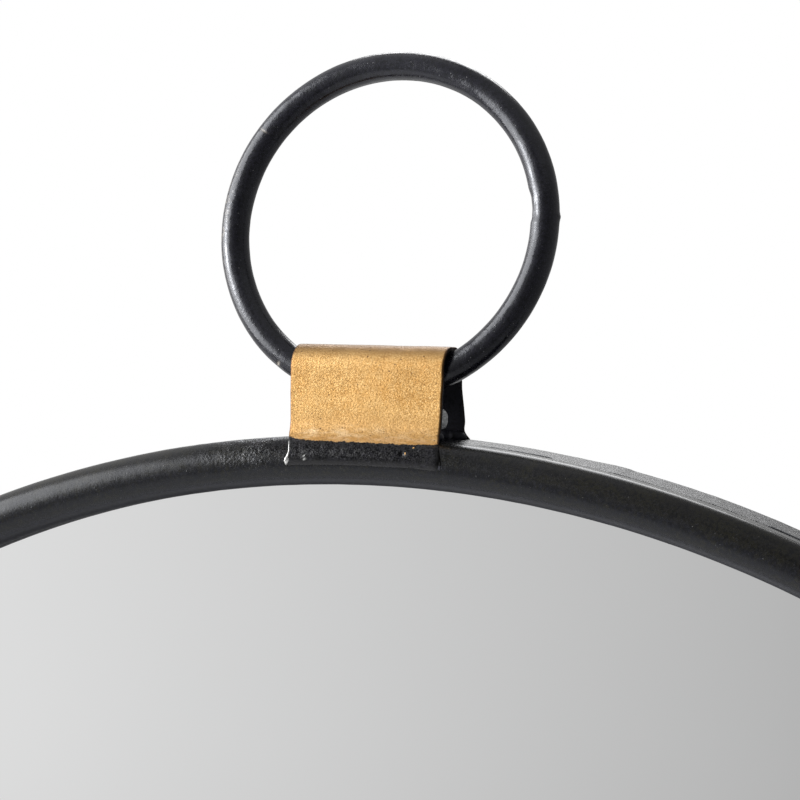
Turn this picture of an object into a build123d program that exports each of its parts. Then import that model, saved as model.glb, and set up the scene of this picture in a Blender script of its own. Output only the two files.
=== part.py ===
"""Round wall mirror with a hanging ring above it and three hooks below it.

Frame: the origin is the centre of the mirror on the wall plane, +X is right, +Y points into
the wall, so the mirror faces -Y, and +Z is up. Millimetres.
"""

import os
from math import asin, cos, degrees, radians, sin, sqrt

from build123d import *

# ---------------------------------------------------------------- driving dimensions

# frame: a rolled rim with a round front, and a flat-bar band welded behind it
opening_radius = 230.0  # clear opening of the rim, where the mirror shows
rim_width = 10.3  # width of the rim's round front
rim_flat_depth = 3.0  # from the middle of the round to the rim's flat back
band_depth = 12.0  # flat bar behind the rim
band_thickness = 3.0
band_setback = 0.5  # the band's outside lies this far inside the rim's
band_chamfer = 0.8  # front edges of the band, which leave the crevice
stand_off = 6.3  # from the band's back edge to the wall

# welds that fill the crevice between rim and band, in stitches
stitch_count = 24
stitch_angle = 12.2
stitch_depth = 0.8
stitch_sink = 0.05  # below the outside of the band

# mirror and backing
edge_clearance = 0.6  # between the band and what lies inside it
glass_thickness = 3.0
glass_edge_chamfer = 0.4
pad_thickness = 1.0
board_thickness = 5.0

# tabs that hold the board
tab_count = 8
tab_first_angle = 22.5
tab_width = 12.0
tab_thickness = 1.0
tab_height = 2.5
tab_reach = 12.0
tab_wall_gap = 0.2

# raised keyhole plates on the board
plate_x = 90.0
plate_z = 150.0
plate_length = 70.0
plate_width = 20.0
plate_thickness = 1.5
plate_rise = 3.5  # from the board to the back of the raised part
plate_raised_length = 34.0
plate_ramp_length = 4.0
plate_bend_radius = 1.6
keyhole_entry_radius = 4.5
keyhole_slot_radius = 2.3
keyhole_slot_rise = 8.0
keyhole_entry_drop = 3.5  # the entry's middle, below the plate's
plate_corner_radius = 4.0

# screws of the keyhole plates
screw_spacing = 58.0
screw_radius = 1.75
screw_length = 4.2  # in the board
screw_head_radius = 3.7
screw_head_height = 2.4
screw_clearance = 0.1
screw_plate_hole_radius = 2.2

# rubber bumpers between the board and the wall
bumper_radius = 8.0
bumper_tip_radius = 6.0
bumper_ring_radius = 205.0
bumper_angles = (35.0, 145.0, 215.0, 325.0)
bumper_edge_radius = 1.0

# hanging ring of round bar
ring_bar_radius = 3.05
ring_radius = 34.45  # centre line
ring_seam_angle = 3.0
ring_seam_swell = 0.25
ring_wall_gap = 0.2
pivot_below_bar = 0.7  # the axis of swing lies this far below the bar where it enters the strap
pivot_behind_fold = 0.45  # and this far behind the middle of the front fold

# gold strap folded over the ring
strap_width = 33.4
strap_thickness = 0.9
strap_height = 18.7  # from the top of the rim to the fold
strap_front = 1.0  # the front leg's outside, ahead of the middle of the rim's round
strap_fold_radius = 5.0  # outside of the front fold
strap_shoulder_radius = 5.0  # outside of the rear bend
strap_shoulder_depth = 12.8  # from the front leg's outside to the corner of the rear bend
strap_shoulder_drop = 0.4
strap_knee_depth = 15.0
strap_knee_drop = 12.5
strap_knee_radius = 14.0
strap_foot_depth = 15.6
ring_strap_gap = 0.45  # between the bar and the fold
seat_gap = 0.15  # between a strap and the rim it is hammered on to
lap_end = 0.9  # the lap's end, below the middle of the rim's round

# weld runs of the strap
weld_radius = 1.7
weld_overhang = 1.2
weld_offset = 0.8  # from the leg's inside to the middle of the run
blob_radius = 2.4
blob_height = 4.4  # above the top of the rim
blob_edge_distance = 1.4

# hooks
hook_angles = {"left": 240.0, "center": 270.0, "right": 300.0}
hook_bar_radius = 3.0
hook_shank_length = 34.0
hook_bend_radius = 13.0
hook_tip_length = 9.0
hook_ball_radius = 5.5
hook_from_rim = 8.0  # the shank's middle, behind the middle of the rim's round
hook_weld_radius = 5.2
hook_weld_height = 3.0
saddle_width = 20.0
saddle_end = 1.2  # the saddle's rear end, ahead of the band's back edge

# ---------------------------------------------------------------- derived sizes

rim_radius = rim_width / 2
rim_ring_radius = opening_radius + rim_radius
outer_radius = opening_radius + rim_width
band_outer = outer_radius - band_setback
band_inner = band_outer - band_thickness
band_back = -stand_off
glass_front = band_back - band_depth
rim_y = glass_front - rim_flat_depth
inside_radius = band_inner - edge_clearance
pad_front = glass_front + glass_thickness
board_front = pad_front + pad_thickness
board_back = board_front + board_thickness

strap_top = outer_radius + strap_height
strap_front_y = rim_y - strap_front
strap_inside_y = strap_front_y + strap_thickness
strap_foot_y = strap_front_y + strap_foot_depth
saddle_outer = band_outer + seat_gap + strap_thickness

bar_entry_angle = asin(strap_width / 2 / ring_radius)
bar_half_section = ring_bar_radius / cos(bar_entry_angle)
bar_to_center = ring_radius * cos(bar_entry_angle)
pivot_y = strap_front_y + strap_fold_radius + pivot_behind_fold
pivot_z = strap_top - strap_thickness - ring_strap_gap - bar_half_section - pivot_below_bar
pivot_to_center = pivot_below_bar + bar_to_center
ring_lean = asin((-ring_wall_gap - ring_bar_radius - pivot_y) / (pivot_to_center + ring_radius))
ring_center_y = pivot_y + pivot_to_center * sin(ring_lean)
ring_center_z = pivot_z + pivot_to_center * cos(ring_lean)

far = 2 * outer_radius  # longer than anything that it cuts


# ---------------------------------------------------------------- helpers


def radial_plane(angle):
    """The plane through the mirror's axis, at an angle from +X: its x is the radius, its y is +Y."""
    a = radians(angle)
    return Plane(origin=(0, 0, 0), x_dir=(cos(a), 0, sin(a)), z_dir=(-sin(a), 0, cos(a)))


def wall_side_plane(y):
    """A plane at depth y that faces the wall: its x is -X, its y is +Z."""
    return Plane(origin=(0, y, 0), x_dir=(-1, 0, 0), z_dir=(0, 1, 0))


def half_angle(width):
    """Half the angle that a width covers on the rim, in degrees."""
    return degrees(asin(width / 2 / outer_radius))


def frame_section(gap):
    """Section of rim and band together, grown by a gap: x is the radius."""
    with BuildSketch() as section:
        with Locations((rim_ring_radius, rim_y)):
            Circle(rim_radius + gap)
        with Locations((band_outer + gap, rim_y)):
            Rectangle(band_thickness, band_back - rim_y, align=(Align.MAX, Align.MIN))
    return section.sketch


def wrap_section(rear_end):
    """Section of a strap hammered over the rim, from its lap in front to rear_end."""
    with BuildSketch() as section:
        add(frame_section(seat_gap + strap_thickness))
        add(frame_section(seat_gap), mode=Mode.SUBTRACT)
        with Locations((rim_ring_radius - lap_end, rim_y)):
            Rectangle(far, far, align=(Align.MAX, Align.MAX), mode=Mode.SUBTRACT)
        with Locations((band_outer + seat_gap, rim_y)):
            Rectangle(far, far, align=(Align.MAX, Align.MIN), mode=Mode.SUBTRACT)
        with Locations((outer_radius, rear_end)):
            Rectangle(far, far, align=(Align.CENTER, Align.MIN), mode=Mode.SUBTRACT)
    return section.sketch


def save(piece, name):
    """Write one finished piece under its node's name."""
    piece.part.label = name
    export_step(piece.part, f"parts/{name}.step")


os.makedirs("parts", exist_ok=True)

# ---------------------------------------------------------------- frame

# rolled rim: a round front with a flat back, against which the glass and the band stand
with BuildPart() as front_rim:
    with BuildSketch():
        with Locations((rim_ring_radius, rim_y)):
            Circle(rim_radius)
        with Locations((rim_ring_radius, glass_front)):
            Rectangle(far, far, align=(Align.CENTER, Align.MIN), mode=Mode.SUBTRACT)
    revolve(axis=Axis.Y)
save(front_rim, "front_rim")

# flat bar rolled on edge; its chamfered front edges leave the crevice behind the rim
with BuildSketch() as band_section:
    with Locations((band_outer, glass_front)):
        Rectangle(band_thickness, band_depth, align=(Align.MAX, Align.MIN))
    chamfer(band_section.vertices().group_by(Axis.Y)[0], length=band_chamfer)

with BuildPart() as rear_band:
    add(band_section.sketch)
    revolve(axis=Axis.Y)
save(rear_band, "rear_band")

# stitches in the crevice, one of them at the top
with BuildSketch() as stitch_section:
    with Locations((band_outer - stitch_sink, glass_front)):
        Rectangle(stitch_depth, 2 * band_chamfer, align=(Align.MAX, Align.CENTER))
    with Locations((rim_ring_radius, rim_y)):
        Circle(rim_radius, mode=Mode.SUBTRACT)
    add(band_section.sketch, mode=Mode.SUBTRACT)

with BuildPart() as rim_welds:
    for i in range(stitch_count):
        with BuildSketch(radial_plane(90 + stitch_angle / 2 + i * 360 / stitch_count)):
            add(stitch_section.sketch)
        revolve(axis=Axis.Y, revolution_arc=stitch_angle)
save(rim_welds, "rim_welds")

# ---------------------------------------------------------------- mirror and backing

with BuildPart(wall_side_plane(glass_front)) as mirror_glass:
    Cylinder(inside_radius, glass_thickness, align=(Align.CENTER, Align.CENTER, Align.MIN))
    chamfer(mirror_glass.edges().filter_by(GeomType.CIRCLE), length=glass_edge_chamfer)
save(mirror_glass, "mirror_glass")

with BuildPart(wall_side_plane(pad_front)) as backing_pad:
    Cylinder(inside_radius, pad_thickness, align=(Align.CENTER, Align.CENTER, Align.MIN))
save(backing_pad, "backing_pad")

screw_points = [
    (side * plate_x + end * screw_spacing / 2, plate_z) for side in (-1, 1) for end in (-1, 1)
]

with BuildPart(wall_side_plane(board_back)) as back_board:
    Cylinder(inside_radius, board_thickness, align=(Align.CENTER, Align.CENTER, Align.MAX))
    with Locations(*screw_points):
        Hole(screw_radius + screw_clearance, depth=screw_length + screw_clearance)
save(back_board, "back_board")

# steel angles tacked inside the band, bent over the board
tab_half_angle = half_angle(tab_width)
with BuildPart() as retaining_tabs:
    for i in range(tab_count):
        tab_angle = tab_first_angle + i * 360 / tab_count
        with BuildSketch(radial_plane(tab_angle + tab_half_angle)):
            with Locations((band_inner - tab_wall_gap, board_back)):
                Rectangle(tab_thickness, tab_height, align=(Align.MAX, Align.MIN))
                Rectangle(tab_reach, tab_thickness, align=(Align.MAX, Align.MIN))
        revolve(axis=Axis.Y, revolution_arc=2 * tab_half_angle)
save(retaining_tabs, "retaining_tabs")

# raised hanger plates: a bridge with two feet, and a keyhole in the bridge
for side, plate_center in (("left", -plate_x), ("right", plate_x)):
    raised_end = plate_raised_length / 2
    foot_start = raised_end + plate_ramp_length
    with BuildPart() as keyhole_plate:
        with BuildSketch(Plane.XY.offset(plate_z)):
            with BuildLine():
                FilletPolyline(
                    (plate_center - plate_length / 2, board_back),
                    (plate_center - foot_start, board_back),
                    (plate_center - raised_end, board_back + plate_rise),
                    (plate_center + raised_end, board_back + plate_rise),
                    (plate_center + foot_start, board_back),
                    (plate_center + plate_length / 2, board_back),
                    radius=plate_bend_radius,
                )
                offset(amount=plate_thickness, side=Side.LEFT)
            make_face()
        extrude(amount=plate_width / 2, both=True)
        fillet(keyhole_plate.edges().filter_by(Axis.Y), radius=plate_corner_radius)
        with BuildSketch(wall_side_plane(board_back)):
            with Locations((-plate_center, plate_z - keyhole_entry_drop)):
                Circle(keyhole_entry_radius)
            with Locations((-plate_center, plate_z - keyhole_entry_drop + keyhole_slot_rise / 2)):
                SlotCenterToCenter(keyhole_slot_rise, 2 * keyhole_slot_radius, rotation=90)
            with Locations(*[(-plate_center + end * screw_spacing / 2, plate_z) for end in (-1, 1)]):
                Circle(screw_plate_hole_radius)
        extrude(amount=plate_rise + 2 * plate_thickness, mode=Mode.SUBTRACT)
    save(keyhole_plate, f"keyhole_plate_{side}")

with BuildPart(wall_side_plane(board_back + plate_thickness)) as hanger_screws:
    with Locations(*screw_points):
        Cylinder(
            screw_head_radius, screw_head_height, align=(Align.CENTER, Align.CENTER, Align.MIN)
        )
        Cylinder(
            screw_radius,
            screw_length + plate_thickness,
            align=(Align.CENTER, Align.CENTER, Align.MAX),
        )
    fillet(hanger_screws.edges().group_by(Axis.Y)[-1], radius=screw_head_height / 2)
save(hanger_screws, "hanger_screws")

with BuildPart(wall_side_plane(board_back)) as wall_bumpers:
    for angle in bumper_angles:
        a = radians(angle)
        with Locations((bumper_ring_radius * cos(a), bumper_ring_radius * sin(a))):
            Cone(
                bumper_radius,
                bumper_tip_radius,
                -board_back,
                align=(Align.CENTER, Align.CENTER, Align.MIN),
            )
    fillet(wall_bumpers.edges().group_by(Axis.Y)[-1], radius=bumper_edge_radius)
save(wall_bumpers, "wall_bumpers")

# ---------------------------------------------------------------- hanging ring and its strap

ring_plane = Plane(
    origin=(0, ring_center_y, ring_center_z),
    x_dir=(1, 0, 0),
    z_dir=(0, -cos(ring_lean), sin(ring_lean)),
)

# round bar rolled to a ring, with the swell of its butt weld
with BuildPart(ring_plane) as hanging_ring:
    Torus(ring_radius, ring_bar_radius)
    seam = radians(ring_seam_angle)
    with Locations((ring_radius * cos(seam), ring_radius * sin(seam))):
        Sphere(ring_bar_radius + ring_seam_swell)
save(hanging_ring, "hanging_ring")

# the stretch of rim and band under the strap, with the strap's seat gap round it
seat_half_angle = half_angle(strap_width + 4 * weld_overhang)
with BuildPart() as strap_seat:
    with BuildSketch(radial_plane(90 + seat_half_angle)):
        add(frame_section(seat_gap))
    revolve(axis=Axis.Y, revolution_arc=2 * seat_half_angle)

# the strap's front end, hammered over the round of the rim
with BuildPart() as strap_lap:
    with BuildSketch(radial_plane(90 + seat_half_angle)):
        add(wrap_section(strap_inside_y))
    revolve(axis=Axis.Y, revolution_arc=2 * seat_half_angle)
    Box(strap_width, far, far, mode=Mode.INTERSECT)

# a straight front leg, the fold over the ring's bar, and a back leg that splays to the band
with BuildPart() as hanger_strap:
    with BuildSketch(Plane.YZ):
        with BuildLine():
            FilletPolyline(
                (strap_front_y, rim_ring_radius),
                (strap_front_y, strap_top),
                (strap_front_y + strap_shoulder_depth, strap_top - strap_shoulder_drop),
                (strap_front_y + strap_knee_depth, strap_top - strap_knee_drop),
                (strap_foot_y, band_outer - band_thickness / 2),
                radius=[strap_fold_radius, strap_shoulder_radius, strap_knee_radius],
            )
            offset(amount=strap_thickness, side=Side.RIGHT)
        make_face()
    extrude(amount=strap_width / 2, both=True)
    add(strap_seat.part, mode=Mode.SUBTRACT)
    add(strap_lap.part)
save(hanger_strap, "hanger_strap")

# weld runs inside the two legs, and the blob at the front run's right end
with BuildPart() as strap_welds:
    with BuildSketch(Plane.YZ):
        with Locations(
            (strap_inside_y + weld_offset, outer_radius + weld_offset),
            (strap_foot_y - strap_thickness - weld_offset, band_outer + weld_offset),
        ):
            Circle(weld_radius)
    extrude(amount=strap_width / 2 + weld_overhang, both=True)
    with Locations((strap_width / 2 - blob_edge_distance, strap_inside_y, outer_radius + blob_height)):
        Sphere(blob_radius)
    add(strap_seat.part, mode=Mode.SUBTRACT)
    add(hanger_strap.part, mode=Mode.SUBTRACT)
save(strap_welds, "strap_welds")

# ---------------------------------------------------------------- hooks

saddle_half_angle = half_angle(saddle_width)
hook_y = rim_y + hook_from_rim

for side, angle in hook_angles.items():
    # a gold strap hammered over the rim and the band
    with BuildPart() as hook_saddle:
        with BuildSketch(radial_plane(angle + saddle_half_angle)):
            add(wrap_section(band_back - saddle_end))
        revolve(axis=Axis.Y, revolution_arc=2 * saddle_half_angle)
    save(hook_saddle, f"hook_saddle_{side}")

    # a bar bent to a J, welded under the saddle, with a ball at its tip
    hook_x = outer_radius * cos(radians(angle))
    rim_z = -sqrt(saddle_outer**2 - hook_x**2)
    bend_z = rim_z - hook_shank_length
    with BuildPart() as hook:
        with BuildLine(Plane.YZ.offset(hook_x)):
            shank = Line((hook_y, rim_z + hook_weld_radius), (hook_y, bend_z))
            bend = JernArc(shank @ 1, shank % 1, hook_bend_radius, -180)
            tip = Line(bend @ 1, bend @ 1 + Vector(0, 0, hook_tip_length))
        with BuildSketch(Plane(origin=shank @ 0, z_dir=shank % 0)):
            Circle(hook_bar_radius)
        sweep()
        with Locations(tip @ 1):
            Sphere(hook_ball_radius)
        with Locations((hook_x, hook_y, rim_z)):
            Cone(
                hook_bar_radius,
                hook_weld_radius,
                hook_weld_height,
                align=(Align.CENTER, Align.CENTER, Align.MAX),
            )
            Cylinder(
                hook_weld_radius,
                hook_weld_radius,
                align=(Align.CENTER, Align.CENTER, Align.MIN),
            )
        with Locations(Rotation(90, 0, 0)):
            Cylinder(saddle_outer + seat_gap, far, mode=Mode.SUBTRACT)
    save(hook, f"hook_{side}")
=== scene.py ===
"""Looks for the round wall mirror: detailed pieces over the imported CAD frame, and the studio."""

import math

import bmesh
import bpy
import numpy as np
from mathutils import Matrix, Vector


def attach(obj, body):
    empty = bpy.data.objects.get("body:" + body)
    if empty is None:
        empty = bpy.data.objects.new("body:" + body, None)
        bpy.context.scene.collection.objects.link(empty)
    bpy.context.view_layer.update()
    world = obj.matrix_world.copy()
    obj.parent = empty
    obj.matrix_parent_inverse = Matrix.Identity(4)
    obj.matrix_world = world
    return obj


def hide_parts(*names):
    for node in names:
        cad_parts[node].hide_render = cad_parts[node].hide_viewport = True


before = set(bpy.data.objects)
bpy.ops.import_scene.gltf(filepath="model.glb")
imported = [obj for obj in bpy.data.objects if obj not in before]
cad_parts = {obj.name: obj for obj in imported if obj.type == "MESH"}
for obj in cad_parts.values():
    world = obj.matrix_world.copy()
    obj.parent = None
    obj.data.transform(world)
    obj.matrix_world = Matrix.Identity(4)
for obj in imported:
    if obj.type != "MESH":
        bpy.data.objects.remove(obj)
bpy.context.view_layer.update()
MM = 0.001

# ---- sizes of the CAD model, mm

RIM_R, RIM_Y, BEAD = 235.15, -21.3, 5.15
GLASS_Y, BAND_BACK = -18.3, -6.3
BAND_OUT, BAND_IN = 239.8, 236.8
STRAP_TOP, STRAP_FRONT, STRAP_T = 259.0, -22.3, 0.9
BACK_LEG_Y = STRAP_FRONT + 15.6  # outside of the back leg at its foot
SEAT = 0.15  # gap under the back leg
RING_R, RING_BAR = 34.45, 3.05
RING_LEAN = 0.20986541594892413  # radians, at rest
RING_Y, RING_Z = -10.4269, 283.6180
SADDLE_OUT, SADDLE_MID, SADDLE_HALF = 240.85, 240.3, 10.0
HOOKS = {"left": 240.0, "center": 270.0, "right": 300.0}  # degrees from +X, to the top
HOOK_Y, HOOK_SHANK, HOOK_BEND, HOOK_TIP = -13.3, 34.0, 13.0, 9.0

# ---- noise and mesh helpers


def lattice(i, j, k, seed):
    """Repeatable random number from 0 to 1 at each whole-number point."""
    u64, low = np.uint64, np.uint64(0xFFFFFFFF)
    n = (i * 374761393 + j * 668265263 + k * 2147483647 + seed * 1274126177).astype(u64) & low
    for shift, factor in ((13, 1274126177), (16, 2246822519)):
        n = ((n ^ (n >> u64(shift))) * u64(factor)) & low
    return ((n ^ (n >> u64(13))) & u64(0xFFFFFF)).astype(float) / 0xFFFFFF


def noise(p, size, seed=0):
    """Smooth noise from -1 to 1, with features of about size."""
    q = p / size + 1000.0
    b = np.floor(q).astype(np.int64)
    f = q - b
    f = f * f * f * (f * (f * 6 - 15) + 10)
    out = 0.0
    for corner in np.ndindex(2, 2, 2):
        w = np.prod([f[..., k] if d else 1 - f[..., k] for k, d in enumerate(corner)], axis=0)
        out = out + w * lattice(*(b[..., k] + d for k, d in enumerate(corner)), seed)
    return out * 2 - 1


def bell(x, centre, width):
    return np.exp(-(((x - centre) / width) ** 2))


def step(x, low, high):
    t = np.clip((x - low) / (high - low), 0, 1)
    return t * t * (3 - 2 * t)


def unit(v):
    return v / np.linalg.norm(v, axis=-1, keepdims=True)


def lengths(path):
    """How far along a path each of its points is."""
    return np.concatenate([[0], np.cumsum(np.linalg.norm(np.diff(path, axis=0), axis=1))])


def make(name, points, faces, body, slot, mats, index=None):
    """A smooth mesh piece from points in mm. It rides on a body and takes the materials it is given; slot is
    not used.
    """
    mesh = bpy.data.meshes.new(name)
    mesh.from_pydata((points * MM).tolist(), [], faces)
    for m in mats:
        mesh.materials.append(m)
    if index is not None:
        mesh.polygons.foreach_set("material_index", index)
    mesh.polygons.foreach_set("use_smooth", [True] * len(mesh.polygons))
    bm = bmesh.new()
    bm.from_mesh(mesh)
    bmesh.ops.recalc_face_normals(bm, faces=bm.faces)
    bm.to_mesh(mesh)
    bm.free()
    mesh.update()
    o = bpy.data.objects.new(name, mesh)
    bpy.context.scene.collection.objects.link(o)
    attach(o, body)
    return o


def paint(o, **values):
    """Stores shares from 0 to 1 on a piece's points, for its material."""
    for key, v in values.items():
        data = o.data.attributes.new(key, "FLOAT", "POINT").data
        data.foreach_set("value", np.asarray(v, np.float32).ravel())


def grid_faces(n, m, wrap_n=False, wrap_m=False, start=0):
    """Quads of an n by m grid of points, rows first."""
    i = np.arange(n if wrap_n else n - 1)
    j = np.arange(m if wrap_m else m - 1)
    a, b = np.meshgrid(i, j, indexing="ij")
    a, b = a.ravel(), b.ravel()
    a1, b1 = (a + 1) % n, (b + 1) % m
    return (np.stack([a * m + b, a1 * m + b, a1 * m + b1, a * m + b1], 1) + start).tolist()


def turned(section, angles):
    """Points of a section (radius, y) turned about the mirror's axis; angles from the top, to +X."""
    s, a = np.asarray(section), angles[:, None]
    return np.stack([s[:, 0] * np.sin(a), s[:, 1] + 0 * a, s[:, 0] * np.cos(a)], -1)


def closed_tube(g):
    """Points and faces of a tube from its grid, a row for each ring of points. Both ends are closed."""
    rows, cols = g.shape[:2]
    caps = [list(range(cols))[::-1], list(range((rows - 1) * cols, rows * cols))]
    return g.reshape(-1, 3), grid_faces(rows, cols, False, True) + caps


def joined(parts):
    """The points and faces of several (points, faces) parts together."""
    points, faces, start = [], [], 0
    for q, f in parts:
        points.append(q)
        faces += [[i + start for i in face] for face in f]
        start += len(q)
    return np.concatenate(points), faces


# ---- materials


class Tree:
    """Short names for building a node tree."""

    def __init__(self, tree):
        self.t = tree
        self.t.nodes.clear()

    def new(self, kind):
        return self.t.nodes.new("ShaderNode" + kind)

    def link(self, a, b):
        self.t.links.new(a, b)

    def put(self, socket, value):
        if hasattr(value, "links"):
            self.link(value, socket)
        elif isinstance(value, tuple) and len(value) == 3 and len(socket.default_value) == 4:
            socket.default_value = (*value, 1.0)
        else:
            socket.default_value = value

    def remap(self, value, a, b, c=0.0, d=1.0):
        """Goes smoothly from c to d while value goes from a to b."""
        n = self.new("MapRange")
        n.interpolation_type = "SMOOTHSTEP"
        self.link(value, n.inputs["Value"])
        for key, v in zip(("From Min", "From Max", "To Min", "To Max"), (a, b, c, d)):
            n.inputs[key].default_value = v
        return n.outputs[0]

    def math(self, op, a, b=0.0, c=0.0):
        n = self.new("Math")
        n.operation = op
        for socket, v in zip(n.inputs, (a, b, c)):
            self.put(socket, v)
        return n.outputs[0]

    def times(self, a, b):
        return self.math("MULTIPLY", a, b)

    def plus(self, a, b):
        return self.math("ADD", a, b)

    def mix(self, share, a, b):
        n = self.new("Mix")
        n.data_type = "RGBA"
        for k, v in ((0, share), (6, a), (7, b)):
            self.put(n.inputs[k], v)
        return n.outputs[2]

    def coat(self, share, rgb):
        """Lays a colour over self.color where share is 1."""
        self.color = self.mix(share, self.color, rgb)

    def blend(self, share, a, b):
        """Mixes two shaders."""
        n = self.new("MixShader")
        for socket, v in zip(n.inputs, (share, a, b)):
            self.link(v, socket)
        return n.outputs[0]


class Nodes(Tree):
    """A material's node tree. Lengths in it are in mm."""

    def __init__(self, name):
        self.mat = bpy.data.materials.new(name)
        self.mat.use_nodes = True
        super().__init__(self.mat.node_tree)
        self.out, self.shader = self.new("OutputMaterial"), self.new("BsdfPrincipled")
        self.link(self.shader.outputs[0], self.out.inputs["Surface"])
        scale = self.new("VectorMath")
        scale.operation = "SCALE"
        scale.inputs["Scale"].default_value = 1 / MM
        self.link(self.new("TexCoord").outputs["Object"], scale.inputs[0])
        self.p = scale.outputs[0]

    def scaled(self, factors):
        """The place, with each coordinate times its factor."""
        n = self.new("VectorMath")
        n.operation = "MULTIPLY"
        n.inputs[1].default_value = factors
        self.link(self.p, n.inputs[0])
        return n.outputs[0]

    def noise(self, size, detail=2.0, rough=0.5, stretch=None, distort=0.0):
        n = self.new("TexNoise")
        names = ("Scale", "Detail", "Roughness", "Distortion")
        for key, v in zip(names, (1.0 / size, detail, rough, distort)):
            n.inputs[key].default_value = v
        self.link(self.scaled(stretch) if stretch else self.p, n.inputs["Vector"])
        return n.outputs[0]

    def cells(self, size):
        n = self.new("TexVoronoi")
        n.inputs["Scale"].default_value = 1.0 / size
        self.link(self.p, n.inputs["Vector"])
        return n.outputs["Distance"]

    def axis(self, which):
        n = self.new("SeparateXYZ")
        self.link(self.p, n.inputs[0])
        return n.outputs[which]

    def radius(self, flat_axes=(1.0, 0.0, 1.0)):
        """Distance from the mirror's axis, or from the upright axis for (1, 1, 0)."""
        n = self.new("VectorMath")
        n.operation = "LENGTH"
        self.link(self.scaled(flat_axes), n.inputs[0])
        return n.outputs["Value"]

    def past_rim(self, a, b, c=0.0, d=1.0):
        """Goes from c to d between two distances outside the rim's middle line."""
        return self.remap(self.radius(), RIM_R + a, RIM_R + b, c, d)

    def up(self, a, b, c=0.0, d=1.0):
        """Goes from c to d between two heights."""
        return self.remap(self.axis(2), a, b, c, d)

    def attribute(self, name):
        n = self.new("Attribute")
        n.attribute_name = name
        return n.outputs["Fac"]

    def worn(self, low, high):
        """Convex edges, by pointiness."""
        return self.remap(self.new("NewGeometry").outputs["Pointiness"], low, high)

    def bump(self, *layers):
        """Each layer is (height, depth in mm)."""
        normal = None
        for height, depth in layers:
            n = self.new("Bump")
            n.inputs["Strength"].default_value = 1.0
            n.inputs["Distance"].default_value = depth * MM
            self.link(height, n.inputs["Height"])
            if normal is not None:
                self.link(normal, n.inputs["Normal"])
            normal = n.outputs[0]
        self.link(normal, self.shader.inputs["Normal"])

    def set(self, **values):
        names = {"color": "Base Color", "rough": "Roughness", "metal": "Metallic",
                 "spec": "Specular IOR Level", "tint": "Specular Tint"}
        for k, v in values.items():
            self.put(self.shader.inputs[names[k]], v)


BLUISH = (0.92, 0.945, 1.0)


def foot_layers(n, roughness, layers, flecks):
    """Adds the coarse, hand-dressed paint round the strap's foot, with its painted glints, to the layers of
    black paint.
    """
    across = n.math("ABSOLUTE", n.plus(n.axis(0), 8.0))
    near = n.times(n.remap(across, 46.0, 14.0), n.up(232.0, 235.5))
    # the roughest patch, left of the strap
    hot = n.math("MINIMUM", n.remap(n.axis(0), -40.0, -27.0), n.remap(n.axis(0), -17.5, -22.5))
    hot = n.times(n.times(hot, near), n.remap(n.noise(4.0, 2.0), 0.36, 0.58, 0.4, 1.0))
    layers.append((n.times(n.noise(0.42, 3.0, 0.65), near), 0.070))
    layers.append((n.times(n.noise(0.60, 2.0, 0.55), hot), 0.30))
    roughness = n.math("SUBTRACT", roughness, n.times(near, 0.05))
    roughness = n.math("SUBTRACT", roughness, n.times(hot, 0.07))
    dull = n.times(n.remap(n.noise(0.38, 3.0, 0.7), 0.56, 0.40, 0.0, 0.85), near)
    dull = n.times(dull, n.up(234.6, 236.4))
    # pale flecks near the foot: partly painted glints of the rough paint's sparkle
    fleck = n.times(n.remap(n.noise(0.42, 2.0, 0.6), 0.60, 0.70), near)
    n.coat(n.times(fleck, flecks), (0.085, 0.088, 0.095))
    # painted highlight: pale glints on the roughest patch, only on the bead's upper part where its highlight
    # falls
    painted_glint = n.times(n.remap(n.noise(0.30, 2.0, 0.6), 0.57, 0.67), n.times(hot, 0.8))
    painted_glint = n.times(painted_glint, n.past_rim(4.8, 3.2, 0.15, 1.0))
    n.coat(painted_glint, (0.24, 0.24, 0.25))
    blotch = n.times(near, n.remap(n.noise(0.8, 3.0, 0.6), 0.56, 0.44, 0.0, 0.8))
    n.coat(blotch, (0.0012, 0.0012, 0.0016))
    return roughness, layers, dull


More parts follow.
